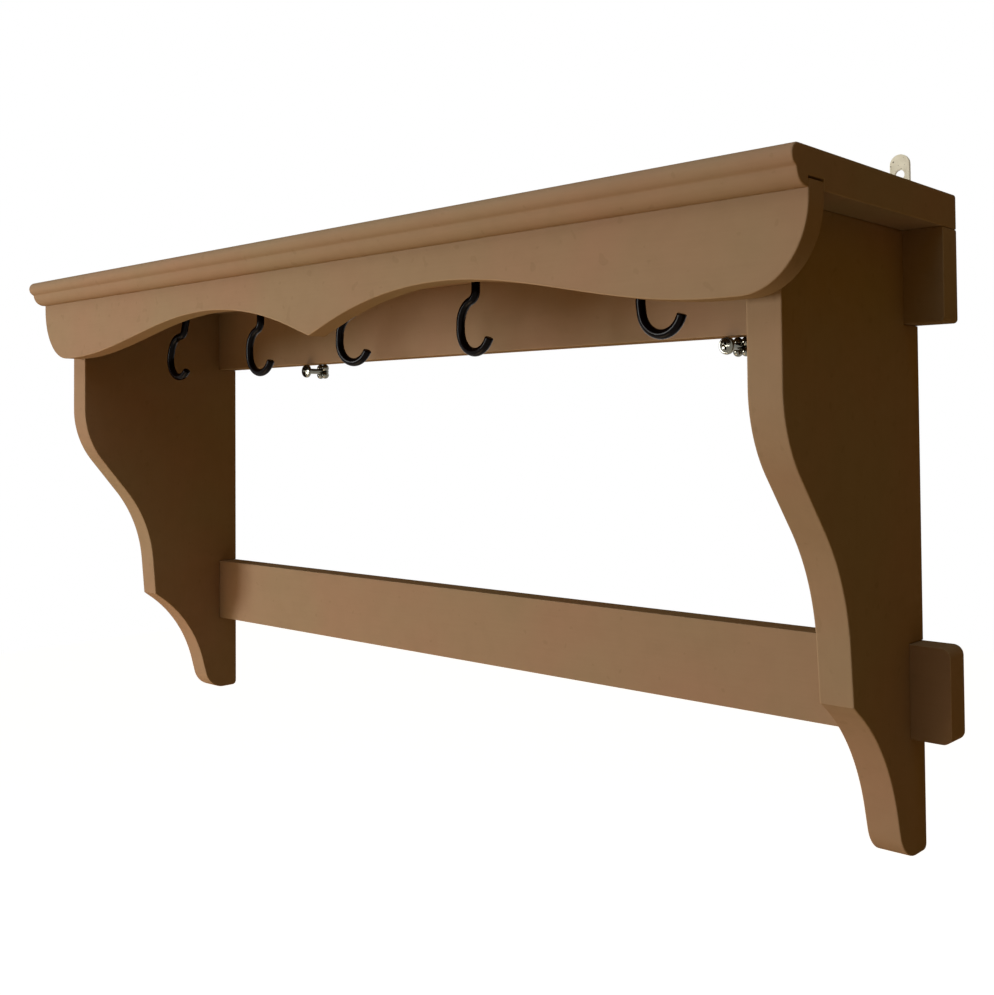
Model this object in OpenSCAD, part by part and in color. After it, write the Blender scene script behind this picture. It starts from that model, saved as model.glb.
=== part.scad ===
// Wall shelf with a scalloped apron, scrolled brackets and five screw hooks.
// X runs to the right seen from the front, Y towards the wall, Z up.
// The wall is the plane Y = 0, and Z = 0 is the height of the hanging holes.

/* [Shelf board] */
// Length of the board from end to end
shelf_w = 800; // [700:1:1000]
// Depth from the wall to the front of the moulding
shelf_d = 200; // [190:1:215]
// Thickness of the board
shelf_t = 21; // [18:0.5:24]
// Radius of the upper bead of the moulding
bead_r = 6; // [4:0.5:6.5]
// Radius of the lower round of the moulding
ovolo_r = 9.5; // [7:0.5:10]
// How far the lower round stands back from the bead
ovolo_back = 4.4; // [1.5:0.1:5]
// How far the moulding stands out in front of the apron
nosing = 16; // [13:0.5:20]
// Radius of the board's upper edge at the wall
back_edge_r = 2; // [1:0.5:4]

/* [Apron] */
// Thickness of the apron
apron_t = 16; // [14:0.5:20]
// Depth of the groove that holds the apron's top edge
groove_h = 6; // [3:0.5:8]
// Dark gap above the apron in its groove
groove_gap = 1.5; // [0.3:0.1:2]
// Height of the lobes below the board
lobe_drop = 51.6; // [48:0.1:60]
// Height of the two arches' crests below the board
crest_drop = 23.8; // [20:0.1:27]
// Distance from the middle to each arch's crest
crest_x = 132; // [125:1:140]
// Radius of the arches beside the middle point
arch_r = 320; // [280:5:330]
// Slope of the arches at the middle point, in degrees
point_slope = 20; // [17:0.5:22]
// Distance from the board's end to each lobe's lowest place
lobe_inset = 51; // [50:1:60]
// Width of the rounded end of the apron
end_round_w = 41; // [35:1:46]
// Height of the rounded end of the apron
end_round_h = 48; // [40:1:48]

/* [Brackets] */
// Thickness of a bracket
bracket_t = 21.5; // [18:0.5:25]
// Distance from the board's end to the bracket's outer face
bracket_inset = 25; // [20:1:40]
// Height of a bracket under the board
bracket_h = 380.5; // [378:0.5:395]
// Straight front edge below the board
straight_h = 98; // [88:1:102]
// Radius of the round shoulder
shoulder_r = 76; // [66:1:90]
// Slope of the shoulder, in degrees from upright
shoulder_slope = 40; // [38:0.5:42]
// Radius of the hollow above the point
hollow_r = 120; // [108:1:124]
// Slope of the front edge just above the point
point_lean = 5; // [4:0.5:8]
// Height of the point below the board
point_drop = 278.5; // [276:0.5:284]
// Depth of the bracket at the point
point_d = 93.5; // [90:0.5:98]
// Slope of the edge just below the point
scroll_slope = 54; // [50:0.5:55]
// Radius of the hollow of the lower scroll
scroll_r = 122; // [112:1:126]
// Slope of the edge above the foot
foot_slope = 15; // [13:0.5:17]
// Radius of the round foot
foot_r = 22; // [18:1:25]
// Flat part of the foot, from the wall
foot_flat = 15; // [10:0.5:17]
// Radius of the foot's corner at the wall
heel_r = 4; // [2:0.5:6]

/* [Rails] */
// Thickness of both back rails
rail_t = 20; // [16:0.5:24]
// Height of both back rails
rail_h = 57.5; // [50:0.5:65]
// Height of the lower rail's top edge below the board
lower_rail_drop = 252.5; // [235:1:270]
// Radius of the upper rail's lower end corners
upper_corner_r = 2.5; // [1:0.5:5]
// Radius of the lower rail's end corners
lower_corner_r = 6; // [2:0.5:10]
// Clearance of a rail in its notch, and of the apron in its groove
joint_gap = 0.1; // [0.05:0.05:0.3]

/* [Hooks] */
// Diameter of the coated hook wire
hook_wire_d = 6.3; // [5:0.1:6.5]
// Radius of the hook's bowl, to the middle of the wire
hook_bowl_r = 16.4; // [13:0.1:18]
// Straight back of the hook above the bowl
hook_back = 4.6; // [2:0.1:8]
// Radius of the bend under the shank
hook_neck_r = 7.1; // [6:0.1:10]
// Angle of the bowl's half turn that is left off at the tip
hook_tip_short = 24.5; // [5:0.5:30]
// Diameter of the screw end
hook_screw_d = 4.2; // [3:0.1:4.5]
// Length of the screw end inside the board
hook_screw_l = 13; // [10:1:15]
// How deep a hook's shoulder is pressed into the board
hook_seat = 0.9; // [0.8:0.1:1.5]
// Distance from the wall to the row of hooks
hook_row_d = 120; // [100:1:130]

/* [Fittings] */
// Height of the hanging holes above the board
hang_rise = 17.5; // [17:0.5:24]
// Distance from the board's end to the middle of a hanging plate
plate_inset = 34.5; // [30:0.5:45]
// Width of a hanging plate
plate_w = 13; // [12:0.5:18]
// Thickness of a hanging plate
plate_t = 2; // [1.5:0.1:3]
// Diameter of the hanging hole
hang_hole_d = 6.4; // [5:0.1:7]
// Height of the plate above the middle of its hanging hole
plate_crown = 13; // [12:0.5:16]
// Height of the plate's lower end below the board's top
plate_tail = 33; // [30:0.5:36]
// Height of the plate's lower screw below the board's top
plate_low_screw = 25.5; // [24:0.5:27]
// Shank diameter of the plate's wood screws
plate_screw_d = 3; // [2.5:0.1:3.5]
// Length of the plate's wood screws
plate_screw_l = 16; // [12:1:18]
// Diameter of a wall screw's head
wall_head_d = 12.4; // [10:0.2:14]
// Height of a wall screw's head
wall_head_h = 3.4; // [2.5:0.1:4.5]
// Shank diameter of a wall screw
wall_shank_d = 5; // [4:0.1:6]
// Distance from the wall to the back of a wall screw's head
wall_screw_out = 22; // [16:0.5:24]
// Diameter of the collar at the wall
collar_d = 16.4; // [16:0.2:17]
// Diameter of each of the collar's four round lobes
collar_lobe_d = 7.2; // [7.1:0.1:7.4]

/* [Joinery] */
// Diameter of the dowels between bracket, rail and board
dowel_d = 8; // [6:0.5:10]
// Length of these dowels
dowel_l = 30; // [24:1:34]
// Part of each dowel that is in the board
dowel_up = 11; // [9:0.5:13]
// Diameter of the dowel between apron and bracket
apron_dowel_d = 6; // [5:0.5:8]
// Length of the dowel between apron and bracket
apron_dowel_l = 28; // [20:1:32]
// Part of that dowel that is in the apron
apron_dowel_in = 10; // [7:0.5:11]
// Diameter of the rail screws
rail_screw_d = 4; // [3:0.1:5]
// Length of the rail screws
rail_screw_l = 45; // [40:1:55]
// Clearance round dowels and screws
hole_gap = 0.1; // [0.05:0.05:0.2]

/* [Hidden] */
$fn = 64;
// Cuts run this far past the faces that they open
over = 1;
// The wire is this much thicker where two of its bends meet
meet_swell = 0.03;

// Each hook's place as a share of the board's length, the depth of its bowl below the board, its
// turn about its shank and its lean: the hooks were screwed in by hand and none is like the next
hook_at = [-0.316, -0.1815, -0.025, 0.135, 0.325];
hook_drop = [72.6, 70.8, 67.4, 65.8, 62.9];
hook_turn = [-2, -2, 4, -6, -5];
hook_lean = [16.5, 0, 4, 1, -7];
// Where the two wall screws stand along the upper rail, as shares of the board's length
wall_screw_at = [-0.258, 0.314];
// Where the upper rail's dowels stand, as shares of the space between the brackets
rail_dowel_at = [-0.3, 0, 0.3];
// Heights of the rail screws in a rail, from its lower edge
rail_screw_at = [12, 32];
// Distances of the bracket's dowels from the wall
bracket_dowel_at = [60, 140];
// Height of the apron's dowels below the board
apron_dowel_drop = 26;

top_z = -hang_rise;
under_z = top_z - shelf_t;
half_w = shelf_w / 2;
hook_x = shelf_w * hook_at;
wall_screw_x = shelf_w * wall_screw_at;
apron_front = shelf_d - nosing;
bracket_d = apron_front - apron_t;
bracket_x = half_w - bracket_inset - bracket_t / 2;
plate_x = half_w - plate_inset;
upper_low_z = under_z - rail_h;
lower_top_z = under_z - lower_rail_drop;

wood = "#9a7f64";
black = "#15120f";
zinc = "#cfcab4";
chrome = "#b9bcb8";
beech = "#d3b183";

// A straight step and a round bend of an edge that runs down and back towards the wall.
// A slope is in degrees from upright, and a point is distance to the wall and height.
function step(p, slope, l) = p + l * [sin(slope), -cos(slope)];
function bend(p, r, from, to, n = 10) = [
    for (i = [1:n]) let (a = from + (to - from) * i / n)
        p + r * [abs(cos(a) - cos(from)), -abs(sin(a) - sin(from))]
];
function last(v) = v[len(v) - 1];

// Lengths of two straight steps, at slopes a and b, that together cover back and down
function two_steps(a, b, back, down) = [
    (back * cos(b) - down * sin(b)) / sin(a - b),
    (down * sin(a) - back * cos(a)) / sin(a - b)
];

// The bracket's scrolled outline in Y and Z, from its top at the front round to the wall
function bracket_outline() =
    let (
        upper = two_steps(shoulder_slope, point_lean,
            bracket_d - point_d - shoulder_r * (1 - cos(shoulder_slope))
                - hollow_r * (cos(point_lean) - cos(shoulder_slope)),
            point_drop - straight_h - shoulder_r * sin(shoulder_slope)
                - hollow_r * (sin(shoulder_slope) - sin(point_lean))),
        lower = two_steps(scroll_slope, foot_slope,
            point_d - foot_flat - scroll_r * (cos(foot_slope) - cos(scroll_slope))
                - foot_r * cos(foot_slope),
            bracket_h - point_drop - scroll_r * (sin(scroll_slope) - sin(foot_slope))
                - foot_r * (1 - sin(foot_slope))),
        start = [-bracket_d, under_z - straight_h],
        shoulder = bend(start, shoulder_r, 0, shoulder_slope),
        hollow = bend(step(last(shoulder), shoulder_slope, upper[0]), hollow_r, shoulder_slope, point_lean),
        tip = [-point_d, under_z - point_drop],
        scroll = bend(step(tip, scroll_slope, lower[0]), scroll_r, scroll_slope, foot_slope),
        foot = bend(step(last(scroll), foot_slope, lower[1]), foot_r, foot_slope, 90),
        foot_z = under_z - bracket_h,
        heel = [for (a = [-90:15:0]) [-heel_r, foot_z + heel_r] + heel_r * [cos(a), sin(a)]]
    )
    concat([[-bracket_d, under_z], start], shoulder,
        [step(last(shoulder), shoulder_slope, upper[0])], hollow, [tip],
        [step(tip, scroll_slope, lower[0])], scroll,
        [step(last(scroll), foot_slope, lower[1])], foot, heel, [[0, under_z]]);

// Right half of the apron's lower edge in X and Z, from the middle point to its end
function apron_edge() =
    let (
        crest_z = under_z - crest_drop,
        lobe_z = under_z - lobe_drop,
        lobe_x = half_w - lobe_inset,
        flat_x = crest_x - arch_r * sin(point_slope),
        flat_z = crest_z - arch_r * (1 - cos(point_slope)),
        arch = [for (i = [0:10]) let (a = point_slope * (1 - i / 10))
            [crest_x - arch_r * sin(a), crest_z - arch_r * (1 - cos(a))]],
        sweep = [for (i = [1:16]) let (t = i / 16)
            [crest_x + (lobe_x - crest_x) * t, crest_z + (lobe_z - crest_z) * (1 - cos(180 * t)) / 2]],
        end = [for (a = [-90:7.5:0])
            [half_w - end_round_w + end_round_w * cos(a), lobe_z + end_round_h + end_round_h * sin(a)]]
    )
    concat([[0, flat_z - flat_x * tan(point_slope)]], arch, sweep, end);

// Lays an outline of Y and Z across X, centred on x
module across(x, t) {
    translate([x - t / 2, 0, 0]) rotate([90, 0, 90]) linear_extrude(t) children();
}

// Stands an outline of X and Z in front of the wall, from y to y + t
module facing(y, t) {
    translate([0, y + t, 0]) rotate([90, 0, 0]) linear_extrude(t) children();
}

// An upright round bar from low to high
module post(x, y, low, high, d) {
    translate([x, y, low]) cylinder(d = d, h = high - low);
}

// A round bar along Y from y to y + l
module bar(x, y, z, l, d) {
    translate([x, y, z]) rotate([-90, 0, 0]) cylinder(d = d, h = l);
}

// A box from its lowest corner to its highest corner
module block(low, high) {
    translate(low) cube(high - low);
}

// Countersunk screw driven from the wall side, with its head flush at y
module wood_screw(x, y, z, l, d, gap = 0) {
    head_h = d / 2;
    bar(x, y - l, z, l - head_h, d + 2 * gap);
    translate([x, y - head_h, z]) rotate([-90, 0, 0])
        cylinder(d1 = d + 2 * gap, d2 = 2 * d + 2 * gap, h = head_h);
}

// Cross recess cut into a screw head that faces the wall side at y
module cross_slot(x, y, z, size, deep) {
    for (a = [0, 90]) translate([x, y, z]) rotate([0, a, 0])
        cube([size, 2 * deep, size / 4], center = true);
}

module bracket_dowels(side) {
    for (d = bracket_dowel_at)
        post(side * bracket_x, -d, under_z + dowel_up - dowel_l, under_z + dowel_up, dowel_d);
}

module bracket_dowel_holes(side) {
    for (d = bracket_dowel_at)
        post(side * bracket_x, -d, under_z + dowel_up - dowel_l - hole_gap,
            under_z + dowel_up + hole_gap, dowel_d + 2 * hole_gap);
}

module rail_dowel_set(gap = 0) {
    span = 2 * bracket_x - bracket_t;
    for (s = rail_dowel_at)
        post(s * span, -rail_t / 2, under_z + dowel_up - dowel_l - gap, under_z + dowel_up + gap,
            dowel_d + 2 * gap);
}

module apron_dowel_bar(side, gap = 0) {
    bar(side * bracket_x, -bracket_d - apron_dowel_in - gap, under_z - apron_dowel_drop,
        apron_dowel_l + 2 * gap, apron_dowel_d + 2 * gap);
}

module rail_screw_pair(side, low_z, gap = 0) {
    for (h = rail_screw_at) wood_screw(side * bracket_x, 0, low_z + h, rail_screw_l, rail_screw_d, gap);
}

module plate_screw_pair(side, gap = 0) {
    for (z = [top_z - shelf_t / 2, top_z - plate_low_screw])
        wood_screw(side * plate_x, 0, z, plate_screw_l, plate_screw_d, gap);
}

// The recess behind each hanging plate, in the board's and the upper rail's back
module plate_recess(side) {
    block([side * plate_x - plate_w / 2 - joint_gap, -plate_t, top_z - plate_tail - joint_gap],
        [side * plate_x + plate_w / 2 + joint_gap, over, top_z + over]);
}

// Brings a hook, or its hole, from the middle of the board's underside to its own place
module hang(i) {
    translate([hook_x[i], -hook_row_d, under_z]) rotate([0, hook_lean[i], 0]) rotate([0, 0, hook_turn[i]])
        children();
}

module hook_holes() {
    for (i = [0:len(hook_x) - 1]) hang(i) {
        post(0, 0, -2 * over, hook_seat + hole_gap, hook_wire_d + 2 * hole_gap);
        post(0, 0, 0, hook_screw_l + hole_gap, hook_screw_d + 2 * hole_gap);
    }
}

module shelf_board() {
    color(wood) difference() {
        across(0, shelf_w) {
            translate([-shelf_d + bead_r, top_z - bead_r]) circle(bead_r);
            translate([-shelf_d + bead_r, under_z + ovolo_r])
                square([shelf_d - bead_r - back_edge_r, shelf_t - ovolo_r]);
            translate([-shelf_d + ovolo_back + ovolo_r, under_z + ovolo_r]) circle(ovolo_r);
            translate([-shelf_d + ovolo_back + ovolo_r, under_z])
                square([shelf_d - ovolo_back - ovolo_r, shelf_t - back_edge_r]);
            translate([-back_edge_r, top_z - back_edge_r]) circle(back_edge_r);
        }
        block([-half_w - over, -apron_front - joint_gap, under_z - over],
            [half_w + over, -bracket_d + joint_gap, under_z + groove_h]);
        for (side = [-1, 1]) {
            bracket_dowel_holes(side);
            plate_recess(side);
            plate_screw_pair(side, hole_gap);
        }
        rail_dowel_set(hole_gap);
        hook_holes();
    }
}

module apron() {
    right = apron_edge();
    n = len(right);
    rim_z = under_z + groove_h - groove_gap;
    color(wood) difference() {
        facing(-apron_front, apron_t) polygon(concat(
            [for (i = [n - 1:-1:1]) [-right[i][0], right[i][1]]], right,
            [[half_w, rim_z], [-half_w, rim_z]]));
        for (side = [-1, 1]) apron_dowel_bar(side, hole_gap);
    }
}

module bracket(side) {
    color(wood) difference() {
        across(side * bracket_x, bracket_t) polygon(bracket_outline());
        for (z = [upper_low_z, lower_top_z - rail_h])
            block([side * bracket_x - bracket_t, -rail_t - joint_gap, z - joint_gap],
                [side * bracket_x + bracket_t, over, z + rail_h + (z == upper_low_z ? over : joint_gap)]);
        bracket_dowel_holes(side);
        apron_dowel_bar(side, hole_gap);
        rail_screw_pair(side, upper_low_z, hole_gap);
        rail_screw_pair(side, lower_top_z - rail_h, hole_gap);
    }
}

// A rail's outline above low_z, with its corners rounded about the heights in at
module rail_outline(low_z, r, at) {
    high_z = low_z + rail_h;
    translate([-half_w + r, low_z]) square([shelf_w - 2 * r, rail_h]);
    translate([-half_w, at[0]]) square([shelf_w, (len(at) > 1 ? at[1] : high_z) - at[0]]);
    for (side = [-1, 1], z = at) translate([side * (half_w - r), z]) circle(r);
}

module upper_rail() {
    color(wood) difference() {
        facing(-rail_t, rail_t) rail_outline(upper_low_z, upper_corner_r, [upper_low_z + upper_corner_r]);
        for (side = [-1, 1]) {
            plate_recess(side);
            plate_screw_pair(side, hole_gap);
            rail_screw_pair(side, upper_low_z, hole_gap);
        }
        rail_dowel_set(hole_gap);
    }
}

module lower_rail() {
    low_z = lower_top_z - rail_h;
    color(wood) difference() {
        facing(-rail_t, rail_t) rail_outline(low_z, lower_corner_r,
            [low_z + lower_corner_r, lower_top_z - lower_corner_r]);
        for (side = [-1, 1]) rail_screw_pair(side, low_z, hole_gap);
    }
}

// A round bend of the hook wire about c, from angle a over sweep degrees, in X and Z
module wire_bend(c, r, a, sweep) {
    translate([c[0], 0, c[1]]) rotate([90, 0, 0]) rotate([0, 0, a])
        rotate_extrude(angle = sweep) translate([r, 0]) circle(d = hook_wire_d, $fn = 32);
}

// One hook: the shank, the bend that swings out, the straight back and the open bowl
module hook(i) {
    swing = acos(hook_neck_r / (hook_bowl_r + hook_neck_r));
    bowl_z = hook_bowl_r - hook_drop[i];
    turn_z = bowl_z + hook_back;
    neck_z = turn_z + (hook_bowl_r + hook_neck_r) * sin(swing);
    color(black) hang(i) {
        post(0, 0, neck_z, hook_seat, hook_wire_d);
        post(0, 0, 0, hook_screw_l, hook_screw_d);
        wire_bend([-hook_neck_r, neck_z], hook_neck_r, -swing, swing);
        wire_bend([0, turn_z], hook_bowl_r, 180 - swing, swing);
        post(-hook_bowl_r, 0, bowl_z, turn_z, hook_wire_d);
        wire_bend([0, bowl_z], hook_bowl_r, 180, 180 - hook_tip_short);
        for (p = [[0, neck_z], [-hook_bowl_r * cos(swing), turn_z + hook_bowl_r * sin(swing)],
                [-hook_bowl_r, turn_z], [-hook_bowl_r, bowl_z]])
            translate([p[0], 0, p[1]]) sphere(d = hook_wire_d + meet_swell);
    }
}

module hanger_plate(side) {
    crown_z = plate_crown - plate_w / 2;
    tail_z = top_z - plate_tail;
    color(zinc) difference() {
        translate([side * plate_x, 0, 0]) facing(-plate_t, plate_t) {
            translate([0, crown_z]) circle(d = plate_w);
            translate([-plate_w / 2, tail_z]) square([plate_w, crown_z - tail_z]);
        }
        bar(side * plate_x, -plate_t - over, 0, plate_t + 2 * over, hang_hole_d);
        plate_screw_pair(side, hole_gap);
    }
}

module plate_screws(side) {
    color(zinc) difference() {
        plate_screw_pair(side);
        for (z = [top_z - shelf_t / 2, top_z - plate_low_screw])
            cross_slot(side * plate_x, 0, z, plate_screw_d, plate_screw_d / 5);
    }
}

module rail_screws(side, low_z) {
    color(zinc) difference() {
        rail_screw_pair(side, low_z);
        for (h = rail_screw_at)
            cross_slot(side * bracket_x, 0, low_z + h, rail_screw_d, rail_screw_d / 5);
    }
}

// Wall screws sit just under the upper rail, so that their collars' lobes touch its lower edge
lobe_at = (collar_d - collar_lobe_d) / 2;
wall_screw_z = upper_low_z - lobe_at * sin(45) - collar_lobe_d / 2;
// How much the collar's core is smaller and lower than the middles of its lobes
core_step = 0.6;

module wall_screw(i) {
    dome_r = (wall_head_d * wall_head_d / 4 + wall_head_h * wall_head_h) / (2 * wall_head_h);
    color(chrome) translate([wall_screw_x[i], 0, wall_screw_z]) difference() {
        union() {
            rotate([90, 0, 0]) cylinder(d = wall_shank_d, h = wall_screw_out + wall_head_h / 2);
            translate([0, -wall_screw_out, 0]) rotate([90, 0, 0]) rotate_extrude() intersection() {
                translate([0, wall_head_h - dome_r]) circle(dome_r);
                square([wall_head_d / 2, wall_head_h]);
            }
        }
        cross_slot(0, -wall_screw_out - wall_head_h, 0, wall_head_d * 0.55, wall_head_h * 0.55);
    }
}

// Four round lobes on a round core
module wall_collar(i) {
    color(chrome) translate([wall_screw_x[i], 0, wall_screw_z]) rotate([90, 0, 0]) difference() {
        union() {
            cylinder(r = lobe_at - core_step, h = collar_lobe_d / 2 - core_step);
            for (turn = [45, 135, 225, 315]) rotate([0, 0, turn])
                translate([lobe_at, 0, collar_lobe_d / 2]) sphere(d = collar_lobe_d);
        }
        translate([0, 0, -over]) cylinder(d = wall_shank_d + 2 * hole_gap, h = collar_lobe_d + 2 * over);
    }
}

shelf_board();
apron();
bracket(-1);  // bracket_left
bracket(1);  // bracket_right
upper_rail();
lower_rail();
hook(0);  // hook_1
hook(1);  // hook_2
hook(2);  // hook_3
hook(3);  // hook_4
hook(4);  // hook_5
hanger_plate(-1);  // hanger_plate_left
hanger_plate(1);  // hanger_plate_right
plate_screws(-1);  // plate_screws_left
plate_screws(1);  // plate_screws_right
wall_screw(0);  // wall_screw_left
wall_screw(1);  // wall_screw_right
wall_collar(0);  // wall_collar_left
wall_collar(1);  // wall_collar_right
color(beech) bracket_dowels(-1);  // bracket_dowels_left
color(beech) bracket_dowels(1);  // bracket_dowels_right
color(beech) apron_dowel_bar(-1);  // apron_dowel_left
color(beech) apron_dowel_bar(1);  // apron_dowel_right
rail_screws(-1, upper_low_z);  // upper_rail_screws_left
rail_screws(1, upper_low_z);  // upper_rail_screws_right
rail_screws(-1, lower_top_z - rail_h);  // lower_rail_screws_left
rail_screws(1, lower_top_z - rail_h);  // lower_rail_screws_right
color(beech) rail_dowel_set();  // rail_dowels
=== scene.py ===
import math

import bpy
import numpy as np
from mathutils import Matrix, Vector


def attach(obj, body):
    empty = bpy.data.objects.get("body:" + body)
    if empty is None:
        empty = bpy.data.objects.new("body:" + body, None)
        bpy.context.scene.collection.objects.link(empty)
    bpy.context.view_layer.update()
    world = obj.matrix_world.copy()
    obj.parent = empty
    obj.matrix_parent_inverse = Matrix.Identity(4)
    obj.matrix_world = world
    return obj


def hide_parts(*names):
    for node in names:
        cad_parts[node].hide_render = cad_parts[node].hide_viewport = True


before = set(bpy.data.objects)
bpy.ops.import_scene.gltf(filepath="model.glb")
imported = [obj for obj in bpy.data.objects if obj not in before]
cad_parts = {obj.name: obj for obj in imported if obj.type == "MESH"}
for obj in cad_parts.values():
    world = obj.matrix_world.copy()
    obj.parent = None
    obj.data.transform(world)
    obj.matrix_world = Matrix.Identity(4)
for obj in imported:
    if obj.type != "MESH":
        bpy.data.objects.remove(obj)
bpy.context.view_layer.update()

# Wall shelf: a board with a moulded front, a scalloped apron, two scrolled brackets, two rails
# and five screw hooks. X runs to the right, Y towards the wall and Z up from the hanging holes.
# Lengths are in millimetres until makePiece turns them into metres.
mm = 0.001
print("wall shelf: frame loaded,", len(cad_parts), "parts")

shelf = {
    "width": 800,
    "depth": 200,
    "thickness": 21,
    "hangRise": 17.5,  # from the board's top up to the hanging holes
    "apronFront": 184,  # distance from the wall
    "apronThickness": 16,
    "bracketThickness": 21.5,
    "bracketInset": 25,
    "railThickness": 20,
    "railHeight": 57.5,
    "lowerRailDrop": 252.5,
    "jointGap": 0.1,
}
topZ = -shelf["hangRise"]
underZ = topZ - shelf["thickness"]
halfWidth = shelf["width"] / 2
bracketDepth = shelf["apronFront"] - shelf["apronThickness"]
bracketX = halfWidth - shelf["bracketInset"] - shelf["bracketThickness"] / 2
upperRailZ = underZ - shelf["railHeight"]
lowerRailTop = underZ - shelf["lowerRailDrop"]
lowerRailZ = lowerRailTop - shelf["railHeight"]
bothSides = ((-1, "Left"), (1, "Right"))
sharpAngle = 40  # degrees between two faces, from which an edge stays sharp


# Points on a round arc: centre + radius * (cos a, sin a), a from start to stop in degrees
def arc(centre, radius, start, stop, count):
    a = np.radians(np.linspace(start, stop, count))
    return np.array(centre) + radius * np.stack([np.cos(a), np.sin(a)], axis=-1)


# A closed outline made anticlockwise, without points that repeat. Its area is half the sum of
# x(i) y(i + 1) - x(i + 1) y(i), and below 0 where it runs clockwise.
def outlineOf(*stretches):
    same = 1e-4
    line = np.vstack([np.reshape(s, (-1, 2)) for s in stretches]).astype(float)
    line = line[np.linalg.norm(line - np.roll(line, 1, axis=0), axis=1) > same]
    x, y = line.T
    area = np.sum(x * np.roll(y, -1) - np.roll(x, -1) * y)
    return line if area > 0 else line[::-1]


# The outline moved inwards by depth: each point goes along the bevel between its two edges,
# depth * (m + n) / (1 + m . n) for their outward normals m and n
def inset(line, depth):
    edge = np.roll(line, -1, axis=0) - line
    edge /= np.linalg.norm(edge, axis=1, keepdims=True)
    after = np.stack([edge[:, 1], -edge[:, 0]], axis=-1)
    before = np.roll(after, 1, axis=0)
    bevel = (before + after) / (1 + np.sum(before * after, axis=1, keepdims=True))
    return line - depth * bevel


# Rings of points joined by quads, each ring closed, with a flat face at the first and last ring
def skin(rings):
    count, around = rings.shape[:2]
    index = np.arange(count * around).reshape(count, around)
    beside = np.roll(index, -1, axis=1)
    quads = np.stack([index[:-1], beside[:-1], beside[1:], index[1:]], axis=-1)
    return rings.reshape(-1, 3), quads.reshape(-1, 4).tolist() + [
        index[0][::-1].tolist(), index[-1].tolist()]


# Puts outlines into space. "across": outline (y, z), carried along x. "facing": outline (x, z),
# carried out from the wall, so that a height h is y = -h.
def placed(way, lines, heights):
    u, v = lines[..., 0], lines[..., 1]
    h = np.broadcast_to(np.asarray(heights, float)[:, None], u.shape)
    return np.stack([h, u, v] if way == "across" else [u, -h, v], axis=-1)


# A board cut to an outline, from one height to another, with quarter-round edges: going up by
# e (1 - cos a), the outline is inset by e (1 - sin a). A narrow flat band on each side of the
# rounding keeps the flat faces' shading flat. rim is 1 on the rounding and 0 off it.
def plank(way, line, low, high, ease, steps=5, band=0.5):
    a = np.linspace(0, math.pi / 2, steps)
    depths = np.concatenate([[ease + band], ease * (1 - np.sin(a)), [0]])
    rises = np.concatenate([[0], ease * (1 - np.cos(a)), [ease + band]])
    rim = np.concatenate([[0], np.sin(2 * a) ** 0.5, [0]])
    depths = np.concatenate([depths, depths[::-1]])
    heights = np.concatenate([low + rises, high - rises[::-1]])
    rim = np.concatenate([rim, rim[::-1]])
    rings = placed(way, np.stack([inset(line, d) for d in depths]), heights)
    points, faces = skin(rings)
    return points, faces, np.repeat(rim, len(line))


# A turned part that stands out from the wall: where its height is h its radius is r, and its
# points are (x + r cos a, -h, z + r sin a)
def turned(x, z, radii, heights, around=48):
    a = np.linspace(0, 2 * math.pi, around, endpoint=False)
    r = np.asarray(radii, float)[:, None]
    h = np.broadcast_to(np.asarray(heights, float)[:, None], (len(r), around))
    return skin(np.stack([x + r * np.cos(a), -h, z + r * np.sin(a)], axis=-1))


# A round wire along a line that lies in one plane: each ring is centre + r (cos a n + sin a b),
# where b is the plane's normal and n = b x tangent
def wire(line, radii, planeNormal, around=28):
    tangent = np.gradient(line, axis=0)
    tangent /= np.linalg.norm(tangent, axis=1, keepdims=True)
    side = np.cross(planeNormal, tangent)
    a = np.linspace(0, 2 * math.pi, around, endpoint=False)[None, :, None]
    ring = np.cos(a) * side[:, None] + np.sin(a) * np.asarray(planeNormal)
    return skin(line[:, None] + np.asarray(radii)[:, None, None] * ring)


# Makes a piece from points in millimetres, shaded smooth with its sharp corners kept
def makePiece(name, points, faces, rim=None, sharp=sharpAngle):
    mesh = bpy.data.meshes.new(name)
    mesh.from_pydata((np.asarray(points) * mm).tolist(), [], faces)
    if rim is not None:
        rounding = mesh.attributes.new("rim", "FLOAT", "POINT")
        rounding.data.foreach_set("value", rim.astype(np.float32))
    mesh.shade_smooth()
    mesh.set_sharp_from_angle(angle=math.radians(sharp))
    piece = bpy.data.objects.new(name, mesh)
    bpy.context.scene.collection.objects.link(piece)
    return piece


# Cuts recesses and holes out of a piece, or joins shapes to it
def cutAway(piece, cutters, how="DIFFERENCE"):
    for points, faces in cutters:
        cutter = makePiece("cutter", points, faces)
        cut = piece.modifiers.new("cut", "BOOLEAN")
        cut.operation, cut.solver, cut.object = how, "EXACT", cutter
        shape = bpy.data.meshes.new_from_object(
            piece.evaluated_get(bpy.context.evaluated_depsgraph_get()))
        piece.modifiers.clear()
        piece.data = shape
        bpy.data.objects.remove(cutter)
    piece.data.name = piece.name
    piece.data.set_sharp_from_angle(angle=math.radians(sharpAngle))


# Gives a piece its material and its body, and hides the solids that it stands for. The slot is not
# used.
def fit(piece, material, slot, *nodes):
    piece.data.materials.clear()
    piece.data.materials.append(material)
    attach(piece, "root")
    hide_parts(*nodes)


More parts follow.
